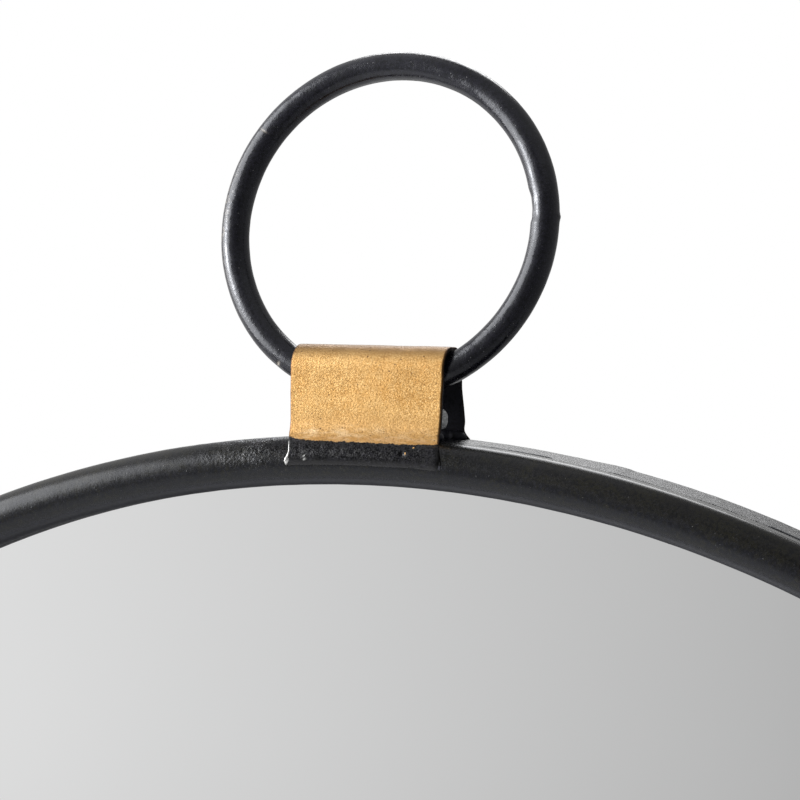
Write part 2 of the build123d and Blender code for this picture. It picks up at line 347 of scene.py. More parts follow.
def black_layers(
    n, rough=0.23, olive=0.0, foot=False, bead=False, coarse=0.0, patchy=0.0, lift=1.0, flecks=0.4
):
    """Black paint with grain and sparkle, the sparkle partly painted as pale glints; on the bead painted
    shade and a painted reflection, and in coarse paint painted shade in the pits: sets n.color, gives
    roughness, bump layers and metallic share.
    """
    drift = n.noise(9.0, 3.0, 0.55)
    grain = n.noise(0.45, 2.0, 0.6)
    swell = n.noise(2.6, 2.0, 0.5)
    low, high = [tuple(lift * v for v in c) for c in ((0.0030, 0.0028, 0.0052), (0.0052, 0.0050, 0.0080))]
    n.color = n.mix(n.remap(drift, 0.35, 0.65), low, high)
    mottle = n.remap(n.noise(22.0, 2.0), 0.35, 0.62, 0.0, olive)
    if bead:
        # the paint is browner outside and smoother inside, next to the glass
        mottle = n.math("MAXIMUM", mottle, n.remap(n.noise(3.0, 3.0, 0.6), 0.35, 0.65, 0.35, 0.9))
        mottle = n.times(mottle, n.past_rim(-4.0, -2.6, 0.15, 1.0))
        smooth = n.past_rim(-3.6, -0.8, 0.12, 1.0)
        smooth = n.times(smooth, n.past_rim(1.6, 4.2, 1.0, 0.15))
    n.coat(mottle, (0.0112, 0.0101, 0.0050))
    if bead:
        # a darker stripe, speckled at its edges, runs round between the brown and the smooth paint: painted
        # shade, where the bead's middle faces the darker floor
        painted_shade_stripe = n.past_rim(-3.4, -1.9)
        painted_shade_stripe = n.times(painted_shade_stripe, n.past_rim(1.2, -0.3))
        painted_shade_stripe = n.times(painted_shade_stripe, n.remap(n.noise(0.9, 3.0, 0.65), 0.38, 0.56, 0.15, 0.95))
        n.coat(painted_shade_stripe, (0.0016, 0.0017, 0.0040))
        # painted reflection: lighter and bluer next to the glass, where the bead mirrors it
        n.coat(n.past_rim(-2.4, -3.8, 0.0, 0.85), (0.0058, 0.0062, 0.0125))
    # pale flecks in the paint, which also stand in for its sparkle: partly painted glints
    speck = n.remap(n.cells(0.9), 0.0, 0.2, 1.0, 0.0)
    speck = n.times(speck, n.remap(n.noise(1.9, 2.0), 0.5, 0.62))
    n.coat(n.times(speck, flecks), (0.14, 0.135, 0.13))
    n.coat(n.remap(grain, 0.5, 0.72, 0.0, 0.5), (0.012, 0.012, 0.017))
    n.coat(n.remap(n.noise(0.7, 3.0, 0.6), 0.52, 0.40, 0.0, 0.75), (0.0010, 0.0010, 0.0016))
    gloss, fine, wave = grain, grain, swell
    if bead:
        gloss = n.plus(n.times(n.math("SUBTRACT", grain, 0.5), smooth), 0.5)
        speck, fine, wave = (n.times(v, smooth) for v in (speck, grain, swell))
    roughness = n.remap(gloss, 0.3, 0.7, rough - 0.05, rough + 0.07)
    if bead:
        roughness = n.plus(roughness, n.past_rim(-3.4, -4.8, 0.0, 0.4))
    layers = [(wave, 0.050), (fine, 0.022), (speck, 0.05)]
    if patchy:
        patches = n.noise(3.2, 3.0, 0.6)
        roughness = n.plus(roughness, n.remap(patches, 0.35, 0.65, -patchy, patchy))
        grit = n.times(n.noise(0.55, 3.0, 0.65), n.remap(n.noise(7.0, 2.0), 0.44, 0.58, 0.15, 1.0))
        layers.append((grit, 0.055))
    if coarse:
        pitted = n.noise(0.5, 3.0, 0.7)
        # painted shade: the pits of the coarse paint are darker
        n.coat(n.remap(pitted, 0.5, 0.36, 0.0, 0.6), (0.001, 0.001, 0.0012))
        roughness = n.plus(roughness, n.remap(pitted, 0.35, 0.62, 0.14, -0.05))
        layers.append((pitted, coarse))
    if foot:
        return foot_layers(n, roughness, layers, flecks)
    return roughness, layers, 0.0


def black_paint(name, worn=False, spec=0.45, **kind):
    n = Nodes(name)
    rough, layers, metal = black_layers(n, **kind)
    if worn:
        # mesh attributes: the wear share shows pale metal, on the ring partly a painted highlight; the dark
        # share is painted shade, near black and kept from reflecting
        n.coat(n.attribute("wear"), (0.42, 0.38, 0.32))
        dark = n.attribute("dark")
        n.coat(dark, (0.0002, 0.0002, 0.0002))
        rough, metal = n.plus(rough, n.times(dark, 0.6)), n.times(dark, 0.9)
    n.set(color=n.color, rough=rough, metal=metal, tint=BLUISH, spec=spec)
    n.bump(*layers)
    return n.mat


BROWN_GOLD = (0.50, 0.285, 0.095)


def gold_paint():
    """
    Speckled gold over black. Attributes: above is the height over the gold's lower limit,
    bare shows metal, and dark is painted shade: a shadow in a groove at the lap's right edge, a few dark
    blots, and shade along the rolled edges.
    """
    n = Nodes("GoldPaint")
    black_rough, layers, dull = black_layers(n, foot=True, flecks=0.3)
    black, foot_bumps = n.color, layers[3:]
    drift = n.noise(6.0, 3.0, 0.6, stretch=(0.6, 1, 1))
    grain = n.noise(0.36, 3.0, 0.7)
    dimple = n.noise(0.50, 2.0, 0.55)
    n.color = n.mix(n.remap(drift, 0.3, 0.7), (0.60, 0.320, 0.085), (0.74, 0.445, 0.155))
    n.coat(n.remap(n.noise(1.7, 2.0), 0.35, 0.7, 0.0, 0.35), (0.78, 0.51, 0.21))
    n.coat(n.remap(grain, 0.54, 0.36, 0.0, 0.66), (0.36, 0.165, 0.038))
    n.coat(n.remap(grain, 0.54, 0.72, 0.0, 0.62), (0.95, 0.72, 0.38))
    # a little browner low down, and, as painted shade, browner towards the fold
    n.coat(n.up(247.0, 241.5, 0.0, 0.65), BROWN_GOLD)
    n.coat(n.up(250.5, 254.5, 0.0, 0.26), BROWN_GOLD)
    height = n.attribute("above")
    # a lighter band just above the gold's lower limit, where the strap tilts to face up: scuffs, and partly a
    # painted sheen of light from above
    band = n.times(n.remap(height, -0.2, 0.5, 0.55, 1.0), n.remap(height, 3.8, 1.6))
    scuff_and_sheen = n.times(band, n.remap(n.noise(1.0, 3.0, 0.6, stretch=(0.3, 1, 1)), 0.42, 0.66, 0.0, 1.0))
    scuff_and_sheen = n.times(scuff_and_sheen, n.remap(n.noise(5.0, 2.0, 0.6, stretch=(0.5, 1, 1)), 0.40, 0.58, 0.35, 1.0))
    n.coat(n.times(scuff_and_sheen, 0.5), (0.86, 0.65, 0.39))
    scrape = n.remap(n.noise(0.5, 3.0, 0.7, stretch=(0.75, 1, 1)), 0.46, 0.36)
    scrape = n.times(scrape, n.remap(height, 5.5, 2.0))
    n.coat(n.times(scrape, 0.75), (0.30, 0.16, 0.05))
    # the fold is smoother where the ring has rubbed it, and browner and darker to its top: painted shade on
    # the fold's upward face
    fold_shade = n.times(n.up(255.6, 258.6), n.remap(n.noise(3.5, 3.0), 0.2, 0.5, 0.7, 1.0))
    n.coat(n.times(fold_shade, 0.85), (0.27, 0.155, 0.060))
    n.coat(n.up(257.7, 258.8, 0.0, 0.85), (0.11, 0.054, 0.012))
    pit = n.times(n.remap(n.cells(1.5), 0.04, 0.17, 1.0, 0.0), n.remap(n.noise(2.6, 1.0), 0.40, 0.50))
    n.coat(n.times(pit, 0.85), (0.08, 0.035, 0.012))
    ragged = n.plus(n.noise(1.3, 4.0, 0.65), -0.5)
    cover = n.remap(n.plus(height, ragged), -0.07, 0.09)
    bare, dark = n.attribute("bare"), n.attribute("dark")
    n.coat(n.times(dark, 0.9), (0.075, 0.032, 0.012))
    black = n.mix(dark, black, (0.0003, 0.0003, 0.0003))
    n.color = n.mix(cover, black, n.color)
    n.coat(bare, (0.86, 0.86, 0.84))
    rough = n.plus(black_rough, n.times(dark, 0.5))
    metal = n.times(cover, n.up(256.5, 258.6, 0.45, 0.75))
    metal = n.plus(metal, n.times(dull, n.math("SUBTRACT", 1.0, cover)))
    n.set(
        color=n.color,
        rough=n.mix(cover, rough, n.remap(grain, 0.3, 0.7, 0.34, 0.50)),
        metal=n.math("MAXIMUM", n.math("MAXIMUM", bare, n.times(dark, 0.9)), metal),
        spec=0.45,
    )
    calm = n.times(cover, n.up(254.5, 257.5, 1.0, 0.35))
    n.bump((n.times(dimple, calm), 0.036), (n.times(grain, calm), 0.022), *foot_bumps)
    return n.mat


BLACK = black_paint("BlackPaint", spec=0.36, rough=0.26, olive=0.95, foot=True, bead=True)
BLACK_RING = black_paint(
    "BlackPaintRing", worn=True, spec=0.53, olive=0.1, rough=0.19, patchy=0.07, flecks=0.9, lift=1.9
)
BLACK_BAND = black_paint("BlackPaintBand", worn=True, rough=0.25, coarse=0.11)
# a lighter copy of the black paint for the strap's inner faces and its welds: painted fill light where little
# light reaches
BLACK_LIT_INSIDE = black_paint("BlackPaintLitInside", rough=0.55, lift=2.6)
GOLD = gold_paint()


def weld_metal():
    n = Nodes("WeldMetal")
    grain = n.noise(0.5, 3.0, 0.6)
    n.color = n.mix(n.remap(grain, 0.35, 0.7), (0.27, 0.28, 0.285), (0.62, 0.63, 0.63))
    n.coat(n.remap(n.noise(0.8, 3.0, 0.6), 0.60, 0.72, 0.0, 0.8), (0.05, 0.05, 0.052))
    n.set(color=n.color, rough=n.remap(grain, 0.3, 0.7, 0.35, 0.6), metal=0.15)
    n.bump((grain, 0.12))
    return n.mat


WELD = weld_metal()


def mirror_material():
    n = Nodes("MirrorSilver")
    haze = n.noise(35.0, 3.0, 0.6)
    n.set(
        color=n.mix(n.remap(haze, 0.3, 0.7), (0.941, 0.944, 0.944), (0.946, 0.948, 0.948)),
        rough=n.remap(haze, 0.45, 0.8, 0.0, 0.012),
        metal=1.0,
    )
    return n.mat


def board_material():
    n = Nodes("Hardboard")
    fibre = n.noise(0.9, 4.0, 0.7, stretch=(0.35, 1, 1), distort=0.6)
    fine = n.noise(0.35, 3.0, 0.6)
    n.color = n.mix(n.remap(fibre, 0.3, 0.7), (0.155, 0.088, 0.045), (0.29, 0.18, 0.10))
    n.coat(n.remap(n.noise(40.0, 3.0), 0.35, 0.7, 0.0, 0.5), (0.20, 0.125, 0.07))
    n.coat(n.remap(fine, 0.62, 0.75, 0.0, 0.6), (0.40, 0.28, 0.17))
    strand = n.noise(3.2, 5.0, 0.75, stretch=(0.30, 1, 1), distort=1.4)
    n.coat(n.remap(strand, 0.54, 0.68, 0.0, 0.75), (0.36, 0.235, 0.135))
    n.coat(n.remap(strand, 0.44, 0.32, 0.0, 0.75), (0.10, 0.055, 0.030))
    rub = n.remap(n.noise(55.0, 4.0, 0.65, distort=0.8), 0.52, 0.66)
    rub = n.times(rub, n.remap(n.noise(2.2, 3.0, 0.7), 0.38, 0.6))
    n.coat(n.times(rub, 0.4), (0.42, 0.31, 0.205))
    rim_shade = n.remap(n.radius(), 205.0, 236.0, 0.0, 0.45)
    n.coat(rim_shade, (0.11, 0.066, 0.038))
    n.set(color=n.color, rough=n.remap(fibre, 0.3, 0.7, 0.5, 0.72))
    n.bump((strand, 0.10), (fibre, 0.06), (fine, 0.03))
    return n.mat


def pad_material():
    n = Nodes("FoamPad")
    cell = n.cells(0.8)
    n.set(color=n.mix(n.remap(cell, 0.0, 0.6), (0.70, 0.70, 0.68), (0.84, 0.84, 0.82)), rough=0.85)
    n.bump((cell, 0.15))
    return n.mat


def steel_material():
    n = Nodes("ZincSteel")
    brush = n.noise(0.5, 4.0, 0.6, stretch=(0.06, 1, 1))
    flower = n.noise(3.0, 2.0, 0.5, distort=1.2)
    n.color = n.mix(n.remap(brush, 0.3, 0.7), (0.30, 0.31, 0.32), (0.44, 0.45, 0.46))
    n.coat(n.remap(flower, 0.5, 0.7, 0.0, 0.4), (0.40, 0.375, 0.31))
    n.coat(n.worn(0.53, 0.62), (0.60, 0.60, 0.60))
    n.set(color=n.color, rough=n.remap(brush, 0.3, 0.7, 0.34, 0.52), metal=1.0)
    n.bump((brush, 0.015), (flower, 0.02))
    return n.mat


def rubber_material():
    n = Nodes("BumperRubber")
    grain = n.noise(0.4, 3.0, 0.6)
    n.set(
        color=n.mix(n.remap(grain, 0.35, 0.7), (0.030, 0.030, 0.031), (0.055, 0.055, 0.056)),
        rough=n.remap(grain, 0.3, 0.7, 0.62, 0.8),
    )
    n.bump((grain, 0.05))
    return n.mat


def dress(node, material, bevel=None):
    """Puts a material, and soft edges if bevel is given, on a CAD node."""
    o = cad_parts[node]
    o.data.materials.clear()
    o.data.materials.append(material)
    if bevel:
        m = o.modifiers.new("SoftEdges", "BEVEL")
        m.width, m.segments, m.limit_method, m.angle_limit = bevel * MM, 2, "ANGLE", math.radians(35)
        m.harden_normals = True


# ---- front rim and rear band

TURNS = 2880
AROUND = np.linspace(0, 2 * math.pi, TURNS, endpoint=False)
FRONT_POINTS, BACK_POINTS = 44, 4
SKIN = 0.06  # the waves start this far inside the CAD's surface
CREST_DROP, FLANK_FILL = 0.22, 0.42  # changes to the rim's section on the arc of lowering()

edge_angle = math.asin((GLASS_Y - RIM_Y) / BEAD)
sec = np.linspace(edge_angle, -math.pi - edge_angle, FRONT_POINTS)
r0 = BEAD - SKIN
section = np.stack([RIM_R + r0 * np.cos(sec), RIM_Y + r0 * np.sin(sec)], 1)
back = np.linspace(section[-1, 0], section[0, 0], BACK_POINTS + 2)[1:-1]
section = np.concatenate([section, np.stack([back, back * 0 + GLASS_Y], 1)])
p = turned(section, AROUND)
direction = turned(unit(section - [RIM_R, RIM_Y]), AROUND)
front = np.arange(len(section)) < FRONT_POINTS
h = 0.030 * noise(p, 14.0, 1) + 0.018 * noise(p, 3.2, 2)
top_left = bell(p[..., 0], -34.0, 13.0) * (p[..., 2] > 0)
h += top_left * 0.035 * np.minimum(noise(p, 1.5, 3), 0.25)
turned_by = np.degrees(AROUND)[:, None]


def lowering(deg):
    """Share of the arc at the top right where the crest is lowered."""
    return step(deg, 0.0, 5.0) * step(deg, 110.0, 90.0)


lowered = lowering(turned_by)
sec_deg = np.append(np.degrees(sec), np.full(BACK_POINTS, -90.0))
h -= lowered * (CREST_DROP * step(sec_deg, -24.0, 0.0) - FLANK_FILL * step(sec_deg, 5.0, 27.0))
p = p + direction * (h * front)[..., None]
closed = grid_faces(TURNS, len(section), True, True)
o = make("FrontRim", p.reshape(-1, 3), closed, "frame", "black_paint", [BLACK])
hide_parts("front_rim")


def fillet(before, corner, after, radius):
    """The centre of a corner's fillet, its start and end seen from there, and half the corner's angle."""
    a, b = unit(before - corner), unit(after - corner)
    half = math.acos(np.clip(a @ b, -1, 1)) / 2
    cut = radius / math.tan(half)
    centre = corner + unit(a + b) * radius / math.sin(half)
    return centre, corner + a * cut - centre, corner + b * cut - centre, half


def rounded(corners, radii, steps=4):
    """Closed outline through corners, each rounded by its radius."""
    c, out = [np.array(q, float) for q in corners], []
    for i, radius in enumerate(radii):
        centre, s, e, _ = fillet(c[i - 1], c[i], c[(i + 1) % len(c)], radius)
        out += [centre + unit(s * (1 - t) + e * t) * radius for t in np.linspace(0, 1, steps)]
    return np.array(out)


CHAMFER, ROW, STITCH_PITCH = 0.8, 0.8, 15
section = rounded(
    [
        (BAND_OUT - CHAMFER, GLASS_Y), (BAND_OUT, GLASS_Y + CHAMFER),
        (BAND_OUT, BAND_BACK), (BAND_IN, BAND_BACK), (BAND_IN, GLASS_Y),
    ],
    [0.1, 0.25, 0.45, 0.4, 0.1],
)
# more rows across the outside, so that its small waves show
rows = []
for i in range(len(section)):
    a, b = section[i], section[(i + 1) % len(section)]
    n = max(1, int(np.linalg.norm(b - a) / ROW))
    rows += [a + (b - a) * k / n for k in range(n)]
section = np.array(rows)
p = turned(section, AROUND)
outside = step(section[:, 0], BAND_OUT - 0.6, BAND_OUT - 0.1)
rear = step(section[:, 1], BAND_BACK - 0.8, BAND_BACK - 0.1)
wave = 0.05 * noise(p, 9.0, 5) + 0.04 * noise(p, 2.6, 6) - 0.10
wave = wave + 0.10 * np.maximum(noise(p, 6.0, 10) - 0.45, 0) + 0.10 * lowered
# one drip of paint, right of the strap
drip = step(turned_by, 10.4, 11.8) * step(turned_by, 12.9, 12.5) * step(p[..., 1], -17.4, -14.0)
wave = wave + 0.17 * drip * (1 + 0.3 * noise(p, 1.5, 17))
p = p + turned([[1, 0]], AROUND) * (wave * outside)[..., None]
p[..., 1] += (0.04 * noise(p, 4.0, 7) - 0.05) * rear
closed = grid_faces(TURNS, len(section), True, True)
o = make("RearBand", p.reshape(-1, 3), closed, "frame", "black_paint", [BLACK_BAND])
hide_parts("rear_band")
gap = np.abs(turned_by % STITCH_PITCH - 7.35)  # from the middle between two stitches
# painted shade: a dark line on the band between stitches where the crevice behind the bead's crest would
# show, and darker patches along the band's front edge next to the bead, fewer on the lowered arc
crevice_shade = 0.9 * step(gap, 2.2, 1.7) * step(p[..., 1], -16.2, -16.7) * outside
joint_shade = 0.5 * step(noise(p, 5.0, 8), 0.1, 0.5) * step(p[..., 1], -15.0, -17.0)
joint_shade = joint_shade * outside * (1 - 0.85 * lowered)
paint(o, wear=crevice_shade * 0, dark=np.maximum(crevice_shade, joint_shade))

# weld stitches that nearly fill the crevice, with the small ripples of a hand-run bead
STITCH_ROWS, STITCH_HALF = 90, 6.1
STITCH_FRONT_R, STITCH_REAR_R, STITCH_FRONT_Y, STITCH_DEEP = 239.62, 239.68, -18.88, 1.38
STITCH_FOOT = (239.2, -18.29)
parts = []
for middle in range(0, 360, STITCH_PITCH):
    a = np.radians(np.linspace(-STITCH_HALF, STITCH_HALF, STITCH_ROWS) + middle)
    count = np.arange(STITCH_ROWS)
    ease = np.minimum(step(count, 0, 6), step(STITCH_ROWS - 1 - count, 0, 6))
    u = np.linspace(0, 1, 7)
    front_r = STITCH_FRONT_R - 0.17 * lowering(np.degrees(a) % 360)[:, None]
    r, y = front_r * (1 - u) + STITCH_REAR_R * u, STITCH_FRONT_Y + STITCH_DEEP * u
    crown = np.interp(u, [0, 0.17, 0.33, 0.5, 0.67, 0.84, 1], [0, 0.5, 0.87, 1, 1, 0.97, 0.9])
    q = np.stack([r * np.sin(a)[:, None], y + 0 * r, r * np.cos(a)[:, None]], -1)
    lift = (0.10 + 0.02 * noise(q, 2.0, 9)) * crown - 0.45 * (1 - ease)[:, None]
    top = q + turned([[1, 0]], a) * np.minimum(lift, 0.15)[..., None]
    ring = np.concatenate([top, turned([STITCH_FOOT], a)], 1)
    parts.append(closed_tube(ring))
o = make("RimWelds", *joined(parts), "frame", "black_paint", [BLACK])
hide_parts("rim_welds")

# ---- mirror, backing, tabs, plates

dress("mirror_glass", mirror_material())
dress("backing_pad", pad_material())
dress("back_board", board_material())
STEEL = steel_material()
dress("retaining_tabs", STEEL, 0.2)
dress("keyhole_plate_left", STEEL, 0.25)
dress("keyhole_plate_right", STEEL, 0.25)
dress("wall_bumpers", rubber_material())


PLATE_X, PLATE_Y, PLATE_Z, SCREW_X = 90, -7.8, 150.0, 29
HEAD_R, HEAD_TALL, SLOT_HALF, SLOT_REACH, SLOT_DEEP = 3.7, 2.4, 0.42, 1.85, 1.2


def cross_screw(cx, cz, turn):
    """Pan head with a cross recess, as points and faces: polar grid with the cross pressed in."""
    n = 72
    a = np.linspace(0, 2 * math.pi, n, endpoint=False)
    r = np.concatenate([np.linspace(0, 2.1, 16)[1:], np.linspace(2.1, HEAD_R, 12)[1:]])
    aa, rr = np.meshgrid(a, r, indexing="ij")
    x, z = rr * np.cos(aa), rr * np.sin(aa)
    head = HEAD_TALL * (1 - 0.16 * (rr / HEAD_R) ** 2 - 0.84 * step(rr, 3.0, HEAD_R + 0.02) ** 1.5)
    c, s = math.cos(turn), math.sin(turn)
    u, v = np.abs(x * c + z * s), np.abs(z * c - x * s)
    arms = [step(SLOT_HALF - w, 0, 0.14) * step(SLOT_REACH - t, 0, 0.35) for w, t in ((u, v), (v, u))]
    head = head - SLOT_DEEP * np.maximum(*arms) * (1 - 0.45 * np.clip(rr / 1.9, 0, 1))
    y = PLATE_Y + np.maximum(head, 0.02)
    pts = np.stack([cx + x, y, cz + z], -1).reshape(-1, 3)
    pts = np.concatenate([pts, [[cx, PLATE_Y + HEAD_TALL - SLOT_DEEP, cz], [cx, PLATE_Y, cz]]])
    m = len(r)
    middle, bottom = n * m, n * m + 1
    f = grid_faces(n, m, True, False)
    f += [[middle, i * m, ((i + 1) % n) * m] for i in range(n)]
    f += [[bottom, ((i + 1) % n) * m + m - 1, i * m + m - 1] for i in range(n)]
    return pts, f


places = [sx * PLATE_X + ex * SCREW_X for sx in (-1, 1) for ex in (-1, 1)]
parts = [cross_screw(x, PLATE_Z, 0.4 + 0.9 * k) for k, x in enumerate(places)]
o = make("HangerScrews", *joined(parts), "frame", "zinc_steel", [STEEL])
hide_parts("hanger_screws")

# ---- hanging ring

n, m = 1080, 56
a = np.linspace(0, 2 * math.pi, n, endpoint=False)[:, None]
t = np.linspace(0, 2 * math.pi, m, endpoint=False)[None, :]
deg = (np.degrees(a) + 180) % 360 - 180
STOCK_R = 3  # of the bar that the noise is laid out on
radius = RING_R + STOCK_R * np.cos(t)
q = np.stack([radius * np.cos(a), STOCK_R * np.sin(t) + 0 * a, radius * np.sin(a)], -1)
bar = RING_BAR - SKIN + 0.035 * noise(q, 7.0, 11) + 0.016 * noise(q, 2.0, 12)
seam = bell(deg, 3.0, 1.3)
bar = bar + seam * (0.16 + 0.10 * noise(q, 1.2, 13)) * np.maximum(0, np.cos(t)) ** 2
ground = step(deg, 0.6, 3.0) * step(deg, 15.0, 10.5)  # a ground flat inside, above the seam
bar = bar - ground * (0.30 + 0.10 * noise(q, 1.8, 14)) * np.maximum(0, np.cos(t - math.pi - 0.35)) ** 3
ridge = bell(t, math.pi + 0.80 + 0.12 * noise(q, 3.0, 15) + 0.012 * deg, 0.11)  # the flat's edge stands up
bar = bar + 0.13 * ridge * step(deg, -8.0, -1.0) * step(deg, 15.0, 9.0)
nick = bell(deg - 1.1 * np.cos(t + 1.2), 144.3, 0.30) * np.maximum(0, np.cos(t + 1.35)) ** 26
chip = bell(deg + 1.5 * np.cos(t), 236.2 - 360, 0.45) * np.maximum(0, np.cos(t + 0.68)) ** 40
bar = bar - 0.06 * nick - 0.12 * chip
# bright rubbed streaks on the outer left, thin and broken, where the highlight falls: rubbed wear, and partly
# a painted highlight
streak_highlight = bell(deg % 360, 178.0, 15.0) * bell(np.cos(t - 5.45), 1.0, 0.12)
streak_highlight = streak_highlight * step(noise(q * [3, 3, 1.4], 0.9, 16), 0.15, 0.6)
wear = np.clip(0.7 * nick + 0.9 * chip + 0.45 * streak_highlight, 0, 1)
radius = RING_R + bar * np.cos(t)
x, y, z = radius * np.cos(a), bar * np.sin(t), radius * np.sin(a)
sl, cl = math.sin(RING_LEAN), math.cos(RING_LEAN)
p = np.stack([x, RING_Y + z * sl + y * cl, RING_Z + z * cl - y * sl], -1)
o = make("HangingRing", p.reshape(-1, 3), grid_faces(n, m, True, True), "ring", "black_paint", [BLACK_RING])
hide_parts("hanging_ring")
paint(o, wear=wear, dark=wear * 0)

# ---- gold straps


def edge_material():
    n = Nodes("StrapEdge")
    grain = n.noise(0.5, 3.0, 0.6)
    n.color = n.mix(n.remap(grain, 0.35, 0.65), (0.006, 0.0035, 0.003), (0.030, 0.016, 0.008))
    n.coat(n.remap(n.noise(1.8, 2.0), 0.62, 0.74), (0.20, 0.11, 0.04))
    n.set(color=n.color, rough=n.remap(grain, 0.3, 0.7, 0.5, 0.7), spec=0.1)
    n.bump((grain, 0.04))
    return n.mat


EDGE = edge_material()


def resample(path, spacing):
    d = lengths(path)
    k = max(2, int(d[-1] / spacing) + 1)
    s = np.linspace(0, d[-1], k)
    return np.stack([np.interp(s, d, path[:, i]) for i in range(path.shape[1])], 1)


def inner_path(path, thickness):
    """The strap's inside: path moved to its right by its thickness."""
    t = unit(np.gradient(path, axis=0))
    return path + np.stack([t[:, 1], -t[:, 0]], 1) * thickness[:, None]


def rounded_path(corners, radii, spacing):
    """Open path through corners, each but the ends rounded by its radius."""
    c = [np.array(q, float) for q in corners]
    out = [c[0]]
    for *around, radius in zip(c, c[1:], c[2:], radii):
        centre, s, e, half = fillet(*around, radius)
        turn = math.pi - 2 * half
        for w in np.linspace(0, 1, max(3, int(turn * radius / spacing) + 1)):
            out.append(centre + (s * math.sin(turn * (1 - w)) + e * math.sin(turn * w)) / math.sin(turn))
    return resample(np.array([*out, c[-1]]), spacing)


def ribbon(name, outer, inner, above, bare=None, dark=None):
    """A closed strap from the grids of its two sides. above is the height over the gold's lower limit."""
    rows, cols = outer.shape[:2]
    k = rows * cols
    faces = grid_faces(rows, cols) + [f[::-1] for f in grid_faces(rows, cols, start=k)]
    sheets = len(faces)
    grid = np.arange(k).reshape(rows, cols)
    for line in (grid[0], grid[-1, ::-1], grid[::-1, 0], grid[:, -1]):
        line = line.tolist()
        faces += [[a + k, b + k, b, a] for a, b in zip(line[:-1], line[1:])]
    index = [0] * (sheets // 2) + [2] * (sheets // 2) + [1] * (len(faces) - sheets)
    points = np.concatenate([outer.reshape(-1, 3), inner.reshape(-1, 3)])
    o = make(name, points, faces, "frame", "gold_paint", [GOLD, EDGE, BLACK_LIT_INSIDE], index)
    for f in o.data.polygons[sheets:sheets + 2 * (cols - 1)]:
        f.use_smooth = False  # the cut ends stay crisp
    for key, v in (("above", above), ("bare", bare), ("dark", dark)):
        v = above * 0 if v is None else v
        paint(o, **{key: np.concatenate([v.ravel(), v.ravel()])})
    return o


HALF_STRAP = 16.5
EDGE_ROUND, EDGE_DROP = 0.3, 0.16  # the rolled edges of a strap
LAP_LIFT = 0.42  # outside of a lap over the rim's CAD surface
LAP_START = math.radians(-8.0)


def across(count, fine=(0.0, 0.07, 0.2, 0.42)):
    """Shares from -1 to 1 with close steps at both edges."""
    mid = np.linspace(-1, 1, count)[1:-1]
    e = np.array(fine) / HALF_STRAP
    return np.concatenate([-1 + e, mid[np.abs(mid) < 1 - e[-1] - 0.01], (1 - e)[::-1]])


share = across(104)
edge_drop = EDGE_DROP * np.maximum(0, 1 - (1 - np.abs(share)) * HALF_STRAP / EDGE_ROUND) ** 2

# the hanging strap, from its lap's end up the front, over the ring and down behind


def lap_path(top_r, plane_y, hollow_r):
    """Outside line of a lap: round the bead at radius top_r, then by a hollow curve up to the leg's plane."""
    yc = plane_y - hollow_r
    rise = math.sqrt((top_r + hollow_r) ** 2 - (yc - RIM_Y) ** 2)
    meet = math.atan2(rise, RIM_Y - yc)
    a = np.linspace(LAP_START, meet, 50)
    arc = np.stack([RIM_Y - top_r * np.cos(a), RIM_R + top_r * np.sin(a)], 1)
    b = np.linspace(meet, 0, 16)[1:]
    hollow = np.stack([yc + hollow_r * np.cos(b), RIM_R + rise - hollow_r * np.sin(b)], 1)
    return np.concatenate([arc, hollow])


STRAP_ROW = 0.33
lap_line = lap_path(BEAD + LAP_LIFT, STRAP_FRONT, 5.0)
leg = rounded_path(
    [
        lap_line[-1] + [0, 0.2], (STRAP_FRONT, STRAP_TOP), (STRAP_FRONT + 12.8, STRAP_TOP - 0.4),
        (STRAP_FRONT + 15.0, STRAP_TOP - 12.5), (BACK_LEG_Y, BAND_OUT + SEAT),
    ],
    [5.0, 5.0, 14.0], STRAP_ROW,
)
path = resample(np.concatenate([lap_line, leg]), STRAP_ROW)
is_front = path[:, 0] < STRAP_FRONT + 6
feather = step(path[:, 1], 234.0, 236.6)  # the lap is dressed down to nothing at its end
LAP_T, LAP_END_T, LAP_SINK = 0.34, 0.06, 0.44
thickness = LAP_END_T + (LAP_T - LAP_END_T) * feather + (STRAP_T - LAP_T) * step(path[:, 1], 239.6, 241.6)
thickness = np.where(is_front, thickness, STRAP_T)
path = inner_path(path, np.where(is_front, LAP_SINK * (1 - feather), 0))
inside = inner_path(path, thickness)
path_z = path[:, 1]
curve = np.where(is_front, step(path_z, 246.5, 241.8), step(path_z, 248.0, 240.5))
# how far the strap reaches to the left and right at each height, in front and behind
edge_z = [234.0, 235.0, 235.6, 236.2, 237.0, 238.0, 239.5, 241.0, 246.0, 252.0, 262.0]
edge_left = [-15.7, -15.9, -16.1, -15.75, -15.3, -15.4, -15.95, -16.6, -16.65, -16.7, -16.7]
edge_right = [18.0, 18.05, 18.1, 18.05, 17.9, 17.6, 16.95, 16.35, 16.6, 16.85, 16.85]
rear_z = [239.9, 240.4, 241.2, 241.9, 243.2, 250.0, 256.0]
rear_right = [17.7, 17.2, 16.5, 16.35, 16.65, 16.1, 16.5]
left = np.where(is_front, np.interp(path_z, edge_z, edge_left), -16.7)
right = np.interp(path_z, edge_z, edge_right)
right = np.where(is_front, right, np.interp(path_z, rear_z, rear_right))
for side in (left, right):
    for _ in range(3):
        side[1:-1] = (side[:-2] + 2 * side[1:-1] + side[2:]) / 4


